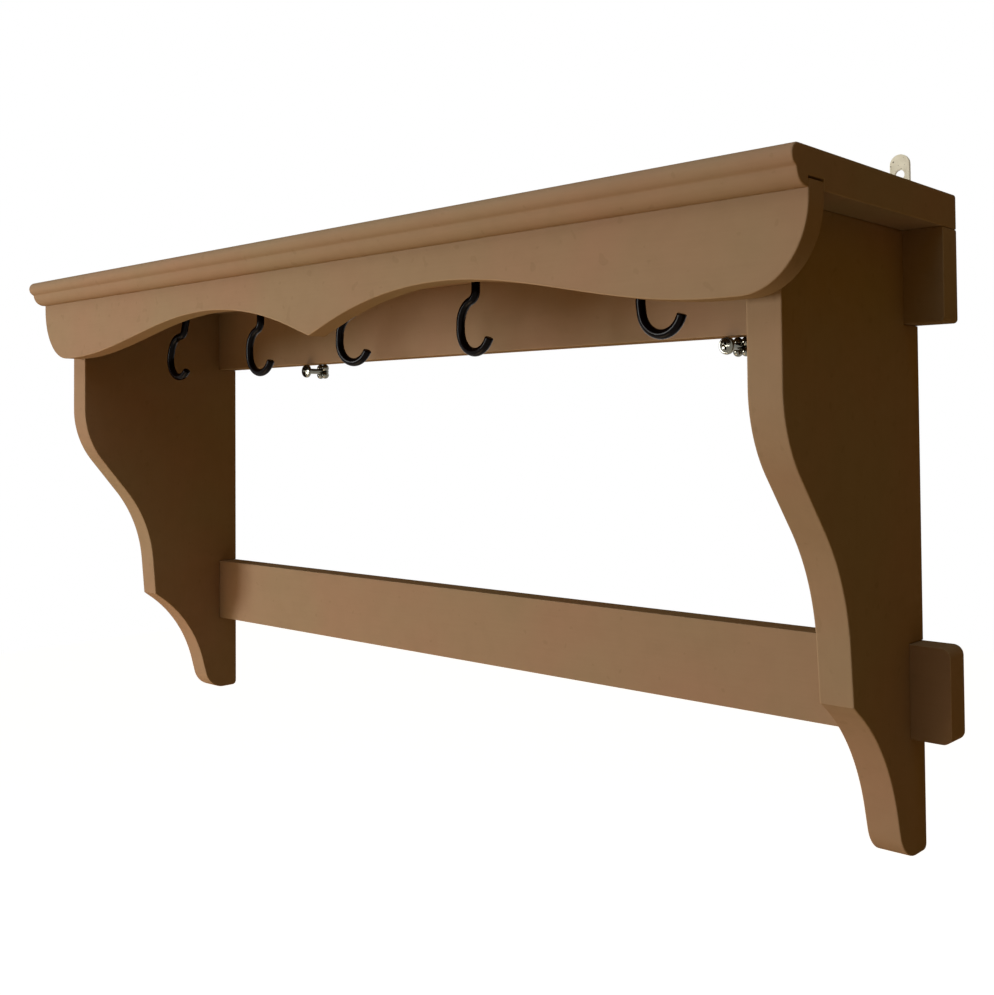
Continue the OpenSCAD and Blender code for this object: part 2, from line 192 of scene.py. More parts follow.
# A socket of a material's nodes, so that shader maths reads as an expression
class Wire:
    def __init__(self, tree, socket=None):
        self.tree, self.socket = tree, socket

    # adds a node: its settings come first, then the values or links of its sockets
    def node(self, kind, settings=None, values=None, out=0):
        made = self.tree.nodes.new(kind)
        for name, value in (settings or {}).items():
            setattr(made, name, value)
        for name, value in (values or {}).items():
            if isinstance(value, Wire):
                self.tree.links.new(value.socket, made.inputs[name])
            else:
                made.inputs[name].default_value = value
        return Wire(self.tree, made.outputs[out] if made.outputs else None)

    # a Math node over these values, which is what the operators below add
    def maths(self, operation, *values):
        return self.node("ShaderNodeMath", {"operation": operation}, dict(enumerate(values)))

    def __add__(self, other):
        return self.maths("ADD", self, other)

    def __sub__(self, other):
        return self.maths("SUBTRACT", self, other)

    def __rsub__(self, other):
        return self.maths("SUBTRACT", other, self)

    def __mul__(self, other):
        return self.maths("MULTIPLY", self, other)

    __radd__, __rmul__ = __add__, __mul__

    # this value used as the share of the second colour: (1 - share) * first + share * second
    def blend(self, first, second):
        return self.node("ShaderNodeMix", {"data_type": "RGBA"},
                         {0: self, 6: first, 7: second}, out=2)

    # this value from low to high stretched to 0..1: (value - low) / (high - low), kept in 0..1
    def between(self, low, high):
        return self.node("ShaderNodeMapRange", {}, {0: self, 1: low, 2: high})

    # a piece's Object coordinates, which its patterns read
    def place(self):
        return self.node("ShaderNodeTexCoord", out="Object")

    # noise of about 0..1 at this place, its grains 1 / scale metres wide
    def noise(self, scale, detail):
        return self.node("ShaderNodeTexNoise", {}, {
            "Vector": self, "Scale": scale, "Detail": detail})

    # this place drawn out: a number for each axis says how many times as fine it gets
    def stretched(self, x, y, z):
        return self.node("ShaderNodeMapping", {}, {"Vector": self, "Scale": (x, y, z)})

    # this value taken as a height: the normal that it gives, for a depth in metres
    def relief(self, strength, depth):
        return self.node("ShaderNodeBump", {}, {
            "Strength": strength, "Distance": depth, "Height": self})


# A colour written as on screen, 0 to 255, as the linear colour that a shader takes
def screen(r, g, b):
    c = np.array([r, g, b]) / 255
    linear = np.where(c <= 0.04045, c / 12.92, ((c + 0.055) / 1.055) ** 2.4)
    return (*linear.tolist(), 1.0)


# An empty material, and the beginning of its nodes
def newMaterial(name):
    material = bpy.data.materials.new(name)
    material.use_nodes = True
    material.node_tree.nodes.clear()
    return material, Wire(material.node_tree)


# Ends a material's nodes with its shader, whose sockets take the values
def finishMaterial(wires, values):
    shader = wires.node("ShaderNodeBsdfPrincipled", {}, values)
    wires.node("ShaderNodeOutputMaterial", {}, {"Surface": shader})


paintLook = {
    "colour": screen(152, 130, 104),
    "warmer": screen(156, 127, 103),  # in broad patches
    "patchScale": 9.0,
    "patchRange": (0.35, 0.65),  # where the noise starts to show and where it is at its full
    "stroke": screen(120, 100, 76),
    "strokeShare": 0.06,
    "strokeScale": 26.0,
    "strokeStretch": 22.0,
    "strokeRange": (0.3, 0.75),
    "strokeHeight": 0.7,
    "gritScale": 1400.0,
    "gritHeight": 0.3,
    "mottle": screen(128, 108, 82),  # also the colour of the dents
    "mottleShare": 0.12,
    "mottleScale": 70.0,
    "mottleRange": (0.42, 0.72),
    "dentShare": 0.2,
    "dentScale": 150.0,
    "dentRange": (0.76, 0.8),
    "dentDepth": 0.6,
    # painted highlight: the lighter colour painted on the rounded edges
    "edge": screen(178, 154, 125),
    "edgeHighlightShare": 0.35,
    "roughness": 0.5,
    "roughnessSwing": 0.16,
    "bump": 0.07,
    "bumpDepth": 0.0006,
}


# Brushed satin paint. The strokes are noise drawn out along the grain, 1 : 22 : 22; broad soft
# patches and a finer mottle turn the brown a little, sparse dents are darker and sunk, and the
# rounded edges are painted lighter, a painted highlight where they catch the light.
def paint(name, grain):
    look = paintLook
    material, wires = newMaterial(name)
    place = wires.place()
    along = place.stretched(*(1.0 if axis == grain else look["strokeStretch"] for axis in "xyz"))
    patches = place.noise(look["patchScale"], detail=2.0).between(*look["patchRange"])
    strokes = along.noise(look["strokeScale"], detail=4.0)
    grit = place.noise(look["gritScale"], detail=2.0)
    mottle = place.noise(look["mottleScale"], detail=3.0).between(*look["mottleRange"])
    dents = place.noise(look["dentScale"], detail=0.0).between(*look["dentRange"])
    rim = wires.node("ShaderNodeAttribute", {"attribute_name": "rim"}, out="Fac")
    brown = patches.blend(look["colour"], look["warmer"])
    darker = strokes.between(*look["strokeRange"]) * look["strokeShare"]
    brown = darker.blend(brown, look["stroke"])
    blotches = mottle * look["mottleShare"] + dents * look["dentShare"]
    brown = blotches.blend(brown, look["mottle"])
    # painted highlight: the rounded edges, where rim is 1, are painted lighter
    brown = (rim * look["edgeHighlightShare"]).blend(brown, look["edge"])
    height = strokes * look["strokeHeight"] + grit * look["gritHeight"] - dents * look["dentDepth"]
    swing = look["roughnessSwing"]  # the strokes' noise is about a half on the whole
    finishMaterial(wires, {
        "Base Color": brown,
        "Roughness": strokes * swing + (look["roughness"] - swing / 2),
        "Specular IOR Level": 0.0,
        "Normal": height.relief(look["bump"], look["bumpDepth"])})
    return material


coatLook = {
    "colour": screen(9, 4, 4),
    "rippleScale": 320.0,
    "roughness": 0.12,
    "roughnessSwing": 0.1,
    "gloss": 0.04,
    "bump": 0.12,
    "bumpDepth": 0.0005,
}


# Black dipped coating: smooth and glossy, with a faint orange-peel ripple
def blackCoat():
    look = coatLook
    material, wires = newMaterial("hook black")
    place = wires.place()
    ripple = place.noise(look["rippleScale"], detail=1.0)
    finishMaterial(wires, {
        "Base Color": look["colour"],
        "Roughness": ripple * look["roughnessSwing"] + look["roughness"],
        "Specular IOR Level": look["gloss"],
        "Normal": ripple.relief(look["bump"], look["bumpDepth"])})
    return material


metalLook = {
    # colour, roughness, metallic and share of specks
    "chrome": (screen(96, 96, 90), 0.12, 1.0, 0.0),
    "plate": (screen(226, 220, 198), 0.4, 0.15, 0.9),
    "screw": (screen(190, 184, 166), 0.3, 1.0, 0.0),
    "cloud": screen(150, 140, 112),
    "cloudShare": 0.25,
    "cloudScale": 220.0,
    "cloudRange": (0.3, 0.7),
    "speck": screen(70, 60, 44),
    "speckScale": 420.0,
    "speckRange": (0.66, 0.72),
    "speckRoughness": 0.3,
    "roughnessSwing": 0.12,
    "bump": 0.1,
    "bumpDepth": 0.0003,
}


# Plated metal: a bright coat with faint clouding, and dark specks where specks is above 0
def plated(name, colour, roughness, metallic, specks):
    look = metalLook
    material, wires = newMaterial(name)
    place = wires.place()
    cloud = place.noise(look["cloudScale"], detail=3.0)
    speck = place.noise(look["speckScale"], detail=1.0).between(*look["speckRange"]) * specks
    clouding = cloud.between(*look["cloudRange"]) * look["cloudShare"]
    shade = clouding.blend(colour, look["cloud"])
    swing = look["roughnessSwing"]
    rough = cloud * swing + speck * look["speckRoughness"] + (roughness - swing / 2)
    finishMaterial(wires, {
        "Base Color": speck.blend(shade, look["speck"]),
        "Metallic": metallic,
        "Roughness": rough,
        "Normal": (cloud - speck).relief(look["bump"], look["bumpDepth"])})
    return material


beechLook = {
    "colour": screen(214, 180, 134),
    "fleck": screen(186, 146, 98),
    "fleckScale": 130.0,
    "fleckStretch": 9.0,
    "fleckRange": (0.35, 0.7),
    "roughness": 0.5,
    "roughnessSwing": 0.2,
    "bump": 0.2,
    "bumpDepth": 0.0003,
}


# Pale beech of the hidden dowels, with its fine flecks drawn out upwards
def beech():
    look = beechLook
    material, wires = newMaterial("dowel beech")
    place = wires.place()
    along = place.stretched(look["fleckStretch"], look["fleckStretch"], 1.0)
    fleck = along.noise(look["fleckScale"], detail=4.0)
    finishMaterial(wires, {
        "Base Color": fleck.between(*look["fleckRange"]).blend(look["colour"], look["fleck"]),
        "Roughness": fleck * look["roughnessSwing"] + look["roughness"],
        "Normal": fleck.relief(look["bump"], look["bumpDepth"])})
    return material


paintAcross = paint("brown paint, long boards", "x")
paintUpright = paint("brown paint, brackets", "z")
hookBlack = blackCoat()
chrome = plated("chrome fittings", *metalLook["chrome"])
zincPlate = plated("zinc plate", *metalLook["plate"])
zincScrew = plated("zinc screws", *metalLook["screw"])
dowelBeech = beech()
print("wall shelf: materials ready")


# Shelf board
board = {
    "bead": 6.0,  # radius of the upper bead of the moulding
    "ovolo": 9.5,  # radius of the lower round
    "ovoloBack": 4.4,
    "cove": 2.0,  # radius of the soft hollow between the two
    "backEdge": 2.0,
    "grooveHeight": 6.0,
    "ease": 0.8,
    "plateInset": 34.5,  # from the board's end to the middle of a hanging plate
    "plateWidth": 13,
    "plateThickness": 2,
    "plateTail": 33,  # from the board's top down to the plate's lower end
}
plateX = halfWidth - board["plateInset"]


# Where two circles meet, on the side away from the wall: from the first centre go a along the
# line to the second and h square to it, with a = (d^2 + r^2 - s^2) / 2d and h = sqrt(r^2 - a^2)
def meeting(first, r, second, s):
    first, second = np.array(first), np.array(second)
    d = np.linalg.norm(second - first)
    a = (d * d + r * r - s * s) / (2 * d)
    u = (second - first) / d
    square = np.array([u[1], -u[0]])
    return first + a * u + math.sqrt(r * r - a * a) * square * np.sign(-square[0])


# Degrees from 0 to 360 at which a point is seen from a centre: atan2(dy, dx)
def angleAt(centre, point):
    return math.degrees(math.atan2(point[1] - centre[1], point[0] - centre[0])) % 360


# The moulding runs down the bead, through a cove that touches both circles, and round the ovolo
def boardOutline():
    bead = [-shelf["depth"] + board["bead"], topZ - board["bead"]]
    ovolo = [-shelf["depth"] + board["ovoloBack"] + board["ovolo"], underZ + board["ovolo"]]
    cove = meeting(bead, board["bead"] + board["cove"], ovolo, board["ovolo"] + board["cove"])
    coveStart, coveStop = angleAt(cove, bead), angleAt(cove, ovolo)
    coveStop -= 360 * (coveStop > coveStart)  # the hollow is run through the other way round
    front = -shelf["apronFront"] - shelf["jointGap"]
    back = -bracketDepth + shelf["jointGap"]
    grooveTop = underZ + board["grooveHeight"]
    r = board["backEdge"]
    return outlineOf(
        [0, underZ], arc([-r, topZ - r], r, 0, 90, 6),
        arc(bead, board["bead"], 90, angleAt(bead, cove), 18),
        arc(cove, board["cove"], coveStart, coveStop, 8),
        arc(ovolo, board["ovolo"], angleAt(ovolo, cove), 270, 16),
        [front, underZ], [front, grooveTop], [back, grooveTop], [back, underZ])


# Box cutter from its lowest to its highest corner
def boxCutter(low, high):
    line = outlineOf([low[1], low[2]], [high[1], low[2]], [high[1], high[2]], [low[1], high[2]])
    return skin(placed("across", np.stack([line, line]), [low[0], high[0]]))


# The place cut for a hanging plate into the board and the rail, open to the back and to the top
def plateRecess(side):
    half, beyond = board["plateWidth"] / 2 + shelf["jointGap"], 5
    tail = topZ - board["plateTail"] - shelf["jointGap"]
    return boxCutter([side * plateX - half, -board["plateThickness"], tail],
                     [side * plateX + half, beyond, topZ + beyond])


shelfBoard = makePiece("shelfBoard", *plank(
    "across", boardOutline(), -halfWidth, halfWidth, board["ease"]))
cutAway(shelfBoard, [plateRecess(-1), plateRecess(1)])
fit(shelfBoard, paintAcross, "paint_brown", "shelf_board")
print("wall shelf: board made")


# Apron
apron = {
    "lobeDrop": 51.6,  # from the board's underside down to the lobe near each end
    "crestDrop": 23.8,  # and down to the arch's crest
    "crestX": 132,
    "archRadius": 320,
    "pointSlope": 20,  # degrees, of the straight bit beside the middle point
    "lobeInset": 51,
    "endWidth": 41,
    "endHeight": 48,
    "grooveGap": 1.5,
    "ease": 0.9,
}


# Right half of the lower edge: a straight piece from the middle point, an arch, a cosine sweep
# z = crest + (lobe - crest) (1 - cos(pi t)) / 2 down to the lobe, and a quarter ellipse
def apronEdge():
    crestZ, lobeZ = underZ - apron["crestDrop"], underZ - apron["lobeDrop"]
    crestX, lobeX = apron["crestX"], halfWidth - apron["lobeInset"]
    radius, slope = apron["archRadius"], math.radians(apron["pointSlope"])
    straightEnd = crestX - radius * math.sin(slope)
    pointZ = crestZ - radius * (1 - math.cos(slope)) - straightEnd * math.tan(slope)
    a = slope * np.linspace(1, 0, 24)
    arch = np.stack([crestX - radius * np.sin(a), crestZ - radius * (1 - np.cos(a))], axis=-1)
    t = np.linspace(0, 1, 48)
    sweep = np.stack([crestX + (lobeX - crestX) * t,
                      crestZ + (lobeZ - crestZ) * (1 - np.cos(math.pi * t)) / 2], axis=-1)
    b = np.radians(np.linspace(-90, 0, 26))
    end = np.stack([halfWidth + apron["endWidth"] * (np.cos(b) - 1),
                    lobeZ + apron["endHeight"] * (1 + np.sin(b))], axis=-1)
    return np.vstack([[[0, pointZ]], arch, sweep, end])


# The apron seen from the front: its lower edge, mirrored at the left, and a straight upper edge
# that is housed in the board's groove
def apronOutline():
    right = apronEdge()
    rimZ = underZ + board["grooveHeight"] - apron["grooveGap"]
    return outlineOf(right[:0:-1] * [-1, 1], right, [halfWidth, rimZ], [-halfWidth, rimZ])


apronBoard = makePiece("apronBoard", *plank(
    "facing", apronOutline(), bracketDepth, shelf["apronFront"], apron["ease"]), sharp=35)
fit(apronBoard, paintAcross, "paint_brown", "apron")
print("wall shelf: apron made")


# Brackets: the front edge from the top down, with slopes in degrees from upright
bracket = {
    "height": 380.5,
    "straight": 98,
    "shoulderRadius": 76,
    "shoulderSlope": 40,
    "hollowRadius": 120,
    "pointLean": 5,
    "pointDrop": 278.5,
    "pointDepth": 93.5,
    "scrollSlope": 54,
    "scrollRadius": 122,
    "footSlope": 15,
    "footRadius": 22,
    "footFlat": 15,
    "heelRadius": 4,
    "ease": 0.9,
}


# A straight step: point + length * (sin slope, -cos slope), with the slope from upright
def stepOn(point, slope, length):
    s = math.radians(slope)
    return np.asarray(point) + length * np.array([math.sin(s), -math.cos(s)])


# A bend that starts at point on one slope and ends on another:
# point + radius * (|cos a - cos from|, -|sin a - sin from|)
def bendOn(point, radius, start, stop, count=24):
    a, first = np.radians(np.linspace(start, stop, count)), math.radians(start)
    return np.asarray(point) + radius * np.stack([
        np.abs(np.cos(a) - math.cos(first)), -np.abs(np.sin(a) - math.sin(first))], axis=-1)


# Lengths of two straight steps, at slopes a and b, that together go back and down
def twoSteps(a, b, back, down):
    a, b = math.radians(a), math.radians(b)
    return ((back * math.cos(b) - down * math.sin(b)) / math.sin(a - b),
            (down * math.sin(a) - back * math.cos(a)) / math.sin(a - b))


# How far back and down a bend goes
def bendReach(radius, start, stop):
    a, b = math.radians(start), math.radians(stop)
    return np.array([abs(math.cos(b) - math.cos(a)), abs(math.sin(b) - math.sin(a))]) * radius


# From the board down: straight, shoulder, hollow, the point that sticks out, scroll and foot, and
# back up the wall side with its notches for the two rails
def bracketOutline():
    k = bracket
    start = np.array([-bracketDepth, underZ - k["straight"]])
    point = np.array([-k["pointDepth"], underZ - k["pointDrop"]])
    footZ = underZ - k["height"]
    toPoint = (point - start) * [1, -1] - bendReach(k["shoulderRadius"], 0, k["shoulderSlope"])
    toPoint -= bendReach(k["hollowRadius"], k["shoulderSlope"], k["pointLean"])
    upper = twoSteps(k["shoulderSlope"], k["pointLean"], *toPoint)
    toFoot = (np.array([-k["footFlat"], footZ]) - point) * [1, -1]
    toFoot -= bendReach(k["scrollRadius"], k["scrollSlope"], k["footSlope"])
    toFoot -= bendReach(k["footRadius"], k["footSlope"], 90)
    lower = twoSteps(k["scrollSlope"], k["footSlope"], *toFoot)
    shoulder = bendOn(start, k["shoulderRadius"], 0, k["shoulderSlope"])
    hollow = bendOn(stepOn(shoulder[-1], k["shoulderSlope"], upper[0]),
                    k["hollowRadius"], k["shoulderSlope"], k["pointLean"])
    scroll = bendOn(stepOn(point, k["scrollSlope"], lower[0]),
                    k["scrollRadius"], k["scrollSlope"], k["footSlope"])
    foot = bendOn(stepOn(scroll[-1], k["footSlope"], lower[1]), k["footRadius"], k["footSlope"], 90)
    heel = arc([-k["heelRadius"], footZ + k["heelRadius"]], k["heelRadius"], -90, 0, 8)
    notch, gap = -shelf["railThickness"] - shelf["jointGap"], shelf["jointGap"]
    return outlineOf(
        [-bracketDepth, underZ], shoulder, hollow, point, scroll, foot, heel,
        [0, lowerRailZ - gap], [notch, lowerRailZ - gap],
        [notch, lowerRailTop + gap], [0, lowerRailTop + gap],
        [0, upperRailZ - gap], [notch, upperRailZ - gap], [notch, underZ])


for side, name in bothSides:
    thick = shelf["bracketThickness"]
    low = side * bracketX - thick / 2
    piece = makePiece("bracket" + name, *plank(
        "across", bracketOutline(), low, low + thick, bracket["ease"]), sharp=32)
    fit(piece, paintUpright, "paint_brown", "bracket_" + name.lower())
print("wall shelf: brackets made")


# Rails
rail = {
    "upperCorner": 2.5,
    "crease": 1.5,  # small rounding of the upper rail's top corners, under the board
    "lowerCorner": 6.0,
    "ease": 0.5,
    "screwHeights": (12, 32),
    "screwHead": 8.0,
    "screwHeadDepth": 2.0,
}


# A rail seen from the front, with one radius for its lower corners and one for its upper corners
def railOutline(low, high, corner, topCorner):
    x, r, t = halfWidth, corner, topCorner
    return outlineOf(
        arc([-x + r, low + r], r, 180, 270, 9), arc([x - r, low + r], r, 270, 360, 9),
        arc([x - t, high - t], t, 0, 90, 9), arc([-x + t, high - t], t, 90, 180, 9))


# Countersunk screw holes in a rail's back: cones that go on a little behind it
def screwHoles(low):
    r, deep, behind = rail["screwHead"] / 2 + shelf["jointGap"], rail["screwHeadDepth"], -2
    return [turned(side * bracketX, low + h, [r - deep, r, r], [deep, 0, behind])
            for side, name in bothSides for h in rail["screwHeights"]]


upperRail = makePiece("upperRail", *plank(
    "facing", railOutline(upperRailZ, underZ, rail["upperCorner"], rail["crease"]),
    0, shelf["railThickness"], rail["ease"]))
cutAway(upperRail, [plateRecess(-1), plateRecess(1)] + screwHoles(upperRailZ))
fit(upperRail, paintAcross, "paint_brown", "upper_rail")
lowerRail = makePiece("lowerRail", *plank(
    "facing", railOutline(lowerRailZ, lowerRailTop, rail["lowerCorner"], rail["lowerCorner"]),
    0, shelf["railThickness"], rail["ease"]))
cutAway(lowerRail, screwHoles(lowerRailZ))
fit(lowerRail, paintAcross, "paint_brown", "lower_rail")
print("wall shelf: rails made")


# Hooks
hook = {
    "wire": 6.3,
    "bowl": 16.4,  # radius of the wire's middle
    "back": 4.6,
    "neck": 7.1,
    "tipShort": 24.5,  # degrees by which the bowl stops short of a half turn
    "tipEase": 0.7,
    "screw": 4.2,
    "screwLength": 13,
    "seat": 0.9,
    "rowDepth": 120,
    # for each hook: share of the board's length, how far it hangs down, and degrees about Z and Y
    "at": (-0.316, -0.1815, -0.025, 0.135, 0.325),
    "drop": (72.6, 70.8, 67.4, 65.8, 62.9),
    "turn": (-2, -2, 4, -6, -5),
    "lean": (16.5, 0, 4, 1, -7),
}


# The middle of a hook's wire in its own plane, from the screw end down: the shank, the neck's
# bend, the bowl's first bend, the straight back and the bowl's half turn, less a bit at the tip.
# Each stretch starts a little after the one before has ended, so that no two rings meet.
def hookLine(drop):
    bowl, neck = hook["bowl"], hook["neck"]
    aboveNeck, besideBend, apart = 0.4, 2, 1
    swing = math.degrees(math.acos(neck / (bowl + neck)))
    bowlZ = bowl - drop
    turnZ = bowlZ + hook["back"]
    neckZ = turnZ + (bowl + neck) * math.sin(math.radians(swing))
    shank = np.stack([np.zeros(10), np.linspace(hook["seat"], neckZ + aboveNeck, 10)], axis=-1)
    straight = np.linspace(turnZ - apart, bowlZ + apart, 4)
    return np.vstack([
        shank, arc([-neck, neckZ], neck, 0, -swing, 20),
        arc([0, turnZ], bowl, 180 - swing + besideBend, 180, 20),
        np.stack([np.full(4, -bowl), straight], axis=-1),
        arc([0, bowlZ], bowl, 180, 360 - hook["tipShort"], 60)])


# A hook in its own plane with its radii. The tip's edge is a quarter round: the line goes on by
# e sin a while the radius shrinks by e (1 - cos a). Above comes the screw end, and the shoulder
# that is pressed into the board.
def hookWire(drop):
    line, wireR, e, apart = hookLine(drop), hook["wire"] / 2, hook["tipEase"], 0.4
    a = np.linspace(0, math.pi / 2, 5)[1:]
    heading = line[-1] - line[-2]
    heading /= np.linalg.norm(heading)
    tip = line[-1] + np.outer(e * np.sin(a) - e, heading)
    line = np.vstack([line[:-2], line[-1] - (e + apart) * heading, line[-1] - e * heading, tip])
    radii = np.concatenate([np.full(len(line) - len(a), wireR), wireR - e * (1 - np.cos(a))])
    screwR, length, point, step = hook["screw"] / 2, hook["screwLength"], 1, 0.02
    heights = [length, length - point, hook["seat"] + step]
    line = np.vstack([np.stack([np.zeros(3), heights], axis=-1), line])
    return line, np.concatenate([[screwR / 2, screwR, screwR], radii])


for i, share in enumerate(hook["at"]):
    line, radii = hookWire(hook["drop"][i])
    flat = np.stack([line[:, 0], np.zeros(len(line)), line[:, 1]], axis=-1)
    turn = np.array(Matrix.Rotation(math.radians(hook["lean"][i]), 3, "Y")
                    @ Matrix.Rotation(math.radians(hook["turn"][i]), 3, "Z"))
    place = np.array([share * shelf["width"], -hook["rowDepth"], underZ])
    points, faces = wire(flat @ turn.T + place, radii, turn @ np.array([0.0, 1.0, 0.0]))
    piece = makePiece(f"hook{i + 1}", points, faces, sharp=50)
    fit(piece, hookBlack, "hook_black", f"hook_{i + 1}")
print("wall shelf: hooks made")


# Hanging plates
plate = {
    "crown": 13,
    "hole": 6.4,
    "lowScrew": 25.5,  # from the board's top down to the lower screw
    "screw": 3,
    "ease": 0.35,
}


# A straight strip with a round top, as long as from its tail to its crown
def plateOutline(x):
    r = board["plateWidth"] / 2
    tail = topZ - board["plateTail"]
    return outlineOf([x - r, tail], [x + r, tail], arc([x, plate["crown"] - r], r, 0, 180, 32))


# The hanging hole at z = 0, and two countersunk screw holes: cones from 2 r at the wall to r
def plateHoles(x):
    r, gap, behind, beyond = plate["screw"] / 2, shelf["jointGap"], -3, 6
    holes = [turned(x, 0, [plate["hole"] / 2] * 2, [behind, beyond])]
    for z in (topZ - shelf["thickness"] / 2, topZ - plate["lowScrew"]):
        holes.append(turned(
            x, z, [2 * r + gap] * 2 + [r + gap] * 2, [behind, 0, r, beyond]))
    return holes


for side, name in bothSides:
    piece = makePiece("hangerPlate" + name, *plank(
        "facing", plateOutline(side * plateX), 0, board["plateThickness"], plate["ease"], band=0.2))
    cutAway(piece, plateHoles(side * plateX))
    fit(piece, zincPlate, "zinc_plate", "hanger_plate_" + name.lower())
print("wall shelf: hanging plates made")


# Wall screws and their collars
fitting = {
    "at": (-0.258, 0.314),  # shares of the board's length
    "head": 12.4,
    "headHeight": 3.4,
    "headEdge": 1.1,  # radius of the rim's roll
    "domeRise": 0.6,
    "shank": 5.0,
    "out": 22.0,  # from the wall to the head
    "recess": 6.4,
    "recessArm": 1 / 7,  # half an arm's width as a share of the cross
    "recessTaper": 0.45,  # the cross at the bottom as a share of it in front
    "recessDepth": 2.2,
    "collar": 16.4,
    "collarEase": 0.4,
    "lobe": 7.2,
    "coreStep": 0.6,  # how much the core is smaller and lower than the lobes' middles
    # counts of sides that keep the corners of one shape off those of the next
    "headSides": 60,
    "coreSides": 52,
    "lobeSides": 41,
}
diagonal = math.sqrt(0.5)
lobeAt = (fitting["collar"] - fitting["lobe"]) / 2
fittingZ = upperRailZ - lobeAt * diagonal - fitting["lobe"] / 2


# Shank and head of a wall screw. The rim rolls over by a quarter turn, radius r - e (1 - cos a),
# into a low dome whose height grows by rise * sin.
def wallScrewShape(x):
    r, tall, back = fitting["head"] / 2, fitting["headHeight"], fitting["out"]
    edge, rise = fitting["headEdge"], fitting["domeRise"]
    under, seat, pole = 0.9, 0.3, 0.4
    bevel, lip, apart = 0.5, 0.1, 0.2
    a = np.linspace(0, math.pi / 2, 9)
    dome = np.linspace(0, 1, 10)
    radii = np.concatenate([
        [fitting["shank"] / 2] * 2, [r - bevel, r - lip], r - edge * (1 - np.cos(a)),
        np.linspace(r - edge - apart, pole, 10)])
    heights = np.concatenate([
        [0, back], [back, back + seat], back + under + (tall - under - rise) * np.sin(a),
        back + tall - rise + rise * np.sin(dome * math.pi / 2)])
    return turned(x, fittingZ, radii, heights, fitting["headSides"])


# Cross recess: a twelve-cornered cross, one arm's end and corner turned by 0, 90, 180 and 270
# degrees, that narrows towards the bottom
def crossCutter(x):
    s, w = fitting["recess"] / 2, fitting["recess"] * fitting["recessArm"]
    quarter = np.array([[s, -w], [s, w], [w, w]])
    turns = [quarter @ np.array([[math.cos(q), math.sin(q)], [-math.sin(q), math.cos(q)]])
             for q in np.radians([0, 90, 180, 270])]
    front, beyond, wider = fitting["out"] + fitting["headHeight"], 1, 1.1
    sizes = np.array([fitting["recessTaper"], 1.0, wider])[:, None, None]
    lines = np.vstack(turns)[None] * sizes + [x, fittingZ]
    return skin(placed("facing", lines, [front - fitting["recessDepth"], front, front + beyond]))


# A ball that touches the wall: at height R (1 - cos b) its radius is R sin b
def ball(x, z, size):
    pole = 0.03
    b = np.linspace(pole, math.pi - pole, 25)
    return turned(x, z, size / 2 * np.sin(b), size / 2 * (1 - np.cos(b)), fitting["lobeSides"])


# Collar: four balls on the diagonals round a round core, with the shank's hole through it
def makeCollar(name, x):
    size, step, ease = fitting["lobe"], fitting["coreStep"], fitting["collarEase"]
    core, tall = lobeAt - step, size / 2 - step
    piece = makePiece(name, *turned(
        x, fittingZ, [core, core, core - ease], [0, tall - ease, tall], fitting["coreSides"]))
    reach = lobeAt * diagonal
    cutAway(piece, [ball(x + i * reach, fittingZ + j * reach, size)
                    for i in (-1, 1) for j in (-1, 1)], how="UNION")
    hole, beyond = fitting["shank"] / 2 + shelf["jointGap"], 1
    cutAway(piece, [turned(
        x, fittingZ, [hole, hole], [-beyond, size + beyond], fitting["coreSides"])])
    return piece


for share, (side, name) in zip(fitting["at"], bothSides):
    x = share * shelf["width"]
    piece = makePiece("wallScrew" + name, *wallScrewShape(x))
    cutAway(piece, [crossCutter(x)])
    fit(piece, chrome, "chrome_fittings", "wall_screw_" + name.lower())
    piece = makeCollar("wallCollar" + name, x)
    fit(piece, chrome, "chrome_fittings", "wall_collar_" + name.lower())
print("wall shelf: wall screws made")

# The solids that stay as they are, found by a word of their names
hidden = {"screws": zincScrew, "dowel": dowelBeech}
for node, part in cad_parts.items():
    for word, material in hidden.items():
        if word in node:
            part.data.materials.clear()
            part.data.materials.append(material)
print("wall shelf: hidden screws and dowels given their materials")


# Studio
studio = {
    "target": (-0.05, -0.1, -0.19),
    "floorZ": -1.6,
    "floorSize": 14.0,
    "floorColour": screen(222, 208, 180),
    "floorGlow": (0.95, 0.955, 0.97, 1.0),
    "glowAbove": (0.115, 0.074, 0.001, 1.0),
    "glowBelow": (0.198, 0.053, 0.001, 1.0),
}
lamps = {
    # degrees left of the front, degrees up, metres away, size, watts and colour
    "key": (36, 3, 2.6, 0.75, 44.5, (1.0, 1.0, 0.99)),
    "back": (180, 6, 3.2, 0.4, 9, (1.0, 0.97, 0.92)),
    "lowFill": (38, -58, 1.5, 0.8, 8.0, (1.0, 0.67, 0.37)),
    "top": (0, 50, 1.8, 1.2, 7.0, (1.0, 0.97, 0.92)),
    "coolRight": (-60, 65, 1.8, 1.0, 4.0, (0.6, 0.87, 1.0)),
}


# A square lamp turned to the target, from (-sin a cos e, -cos a cos e, sin e) times its distance
def addLamp(name, azimuth, elevation, distance, size, watts, colour):
    data = bpy.data.lights.new(name, "AREA")
    data.shape, data.size, data.energy, data.color = "SQUARE", size, watts, colour
    lamp = bpy.data.objects.new(name, data)
    a, e = math.radians(azimuth), math.radians(elevation)
    away = np.array([-math.sin(a) * math.cos(e), -math.cos(a) * math.cos(e), math.sin(e)])
    lamp.location = np.array(studio["target"]) + distance * away
    lamp.rotation_mode = "QUATERNION"
    lamp.rotation_quaternion = Vector((-away).tolist()).to_track_quat("-Z", "Y")
    lamp.visible_camera = False
    bpy.context.scene.collection.objects.link(lamp)


for name, settings in lamps.items():
    addLamp(name, *settings)


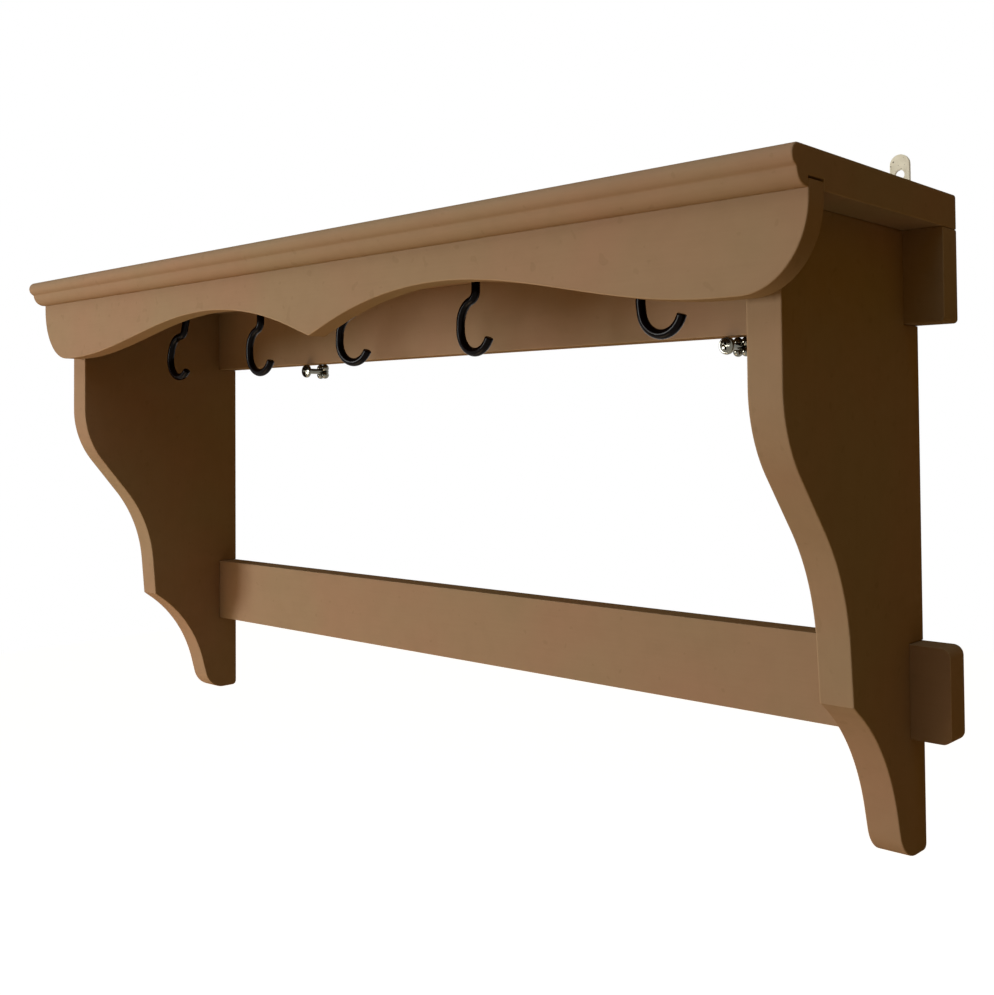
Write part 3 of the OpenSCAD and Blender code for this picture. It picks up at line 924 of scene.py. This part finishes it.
# 1 for the rays that see a background itself: the camera's, and those that metal sends on
def seenDirectly(wires):
    path = wires.node("ShaderNodeLightPath", out="Is Camera Ray")
    seen = path
    for ray in ("Is Glossy Ray", "Is Transmission Ray"):
        seen = seen.maths("MAXIMUM", seen, Wire(path.tree, path.socket.node.outputs[ray]))
    return seen


# The world is white where it is seen, and lights the shelf with a dim warm glow that turns from
# one colour below to another above
world = bpy.data.worlds.new("studio")
bpy.context.scene.world = world
world.use_nodes = True
world.node_tree.nodes.clear()
wires = Wire(world.node_tree)
facing = wires.node("ShaderNodeTexCoord", out="Generated")
height = wires.node("ShaderNodeSeparateXYZ", {}, {"Vector": facing}, out="Z")
glow = height.between(-0.5, 0.5).blend(studio["glowBelow"], studio["glowAbove"])
dim = wires.node("ShaderNodeBackground", {}, {"Color": glow, "Strength": 1.0})
white = wires.node("ShaderNodeBackground", {}, {"Color": (1, 1, 1, 1), "Strength": 1.0})
mixed = wires.node("ShaderNodeMixShader", {}, {0: seenDirectly(wires), 1: dim, 2: white})
wires.node("ShaderNodeOutputWorld", {}, {"Surface": mixed})

# The floor is pale, and almost white where it is seen, so that a faint shadow stays
half = studio["floorSize"] / 2
corners = np.array([[-1, -1, 0], [1, -1, 0], [1, 1, 0], [-1, 1, 0]]) * [half, half, 1]
floor = makePiece("floor", (corners + [0, 0, studio["floorZ"]]) / mm, [[0, 1, 2, 3]])
floorPaint, wires = newMaterial("floor")
finishMaterial(wires, {
    "Base Color": studio["floorColour"],
    "Roughness": 0.9,
    "Specular IOR Level": 0.1,
    "Emission Color": seenDirectly(wires).blend((0, 0, 0, 1), studio["floorGlow"]),
    "Emission Strength": 1.0})
floor.data.materials.append(floorPaint)

# Camera at the photograph's angle: it stands right of the shelf and looks to its left. Its axes
# come from yaw and pitch, and roll turns them about the line of sight.
view = {
    "place": (0.6902, -0.72667, -0.15774),
    "yaw": 0.74909,
    "pitch": 0.02738,
    "roll": -0.00749,
    "focal": 1198.69,  # in pixels of the frame
    "centre": (495.16, 394.77),
    "frame": (994, 995),
    "sensor": 36,
    "nearest": 0.02,
}
yaw, pitch, roll = view["yaw"], view["pitch"], view["roll"]
forward = np.array([
    -math.sin(yaw) * math.cos(pitch), math.cos(yaw) * math.cos(pitch), math.sin(pitch)])
right = np.array([math.cos(yaw), math.sin(yaw), 0.0])
up = np.cross(right, forward)
turnedRight = right * math.cos(roll) + up * math.sin(roll)
turnedUp = up * math.cos(roll) - right * math.sin(roll)
(frameWidth, frameHeight), (centreX, centreY) = view["frame"], view["centre"]
longSide = max(frameWidth, frameHeight)
lens = bpy.data.cameras.new("camera")
lens.sensor_width = view["sensor"]
lens.lens = view["focal"] * view["sensor"] / longSide
lens.shift_x = ((frameWidth - 1) / 2 - centreX) / longSide
lens.shift_y = (centreY - (frameHeight - 1) / 2) / longSide
lens.clip_start = view["nearest"]
cameraObject = bpy.data.objects.new("camera", lens)
axes = np.stack([turnedRight, turnedUp, -forward], axis=-1)
cameraObject.matrix_world = Matrix.Translation(view["place"]) @ Matrix(axes.tolist()).to_4x4()
bpy.context.scene.collection.objects.link(cameraObject)
bpy.context.scene.camera = cameraObject
bpy.context.scene.view_settings.view_transform = "Standard"
print("wall shelf: studio ready")
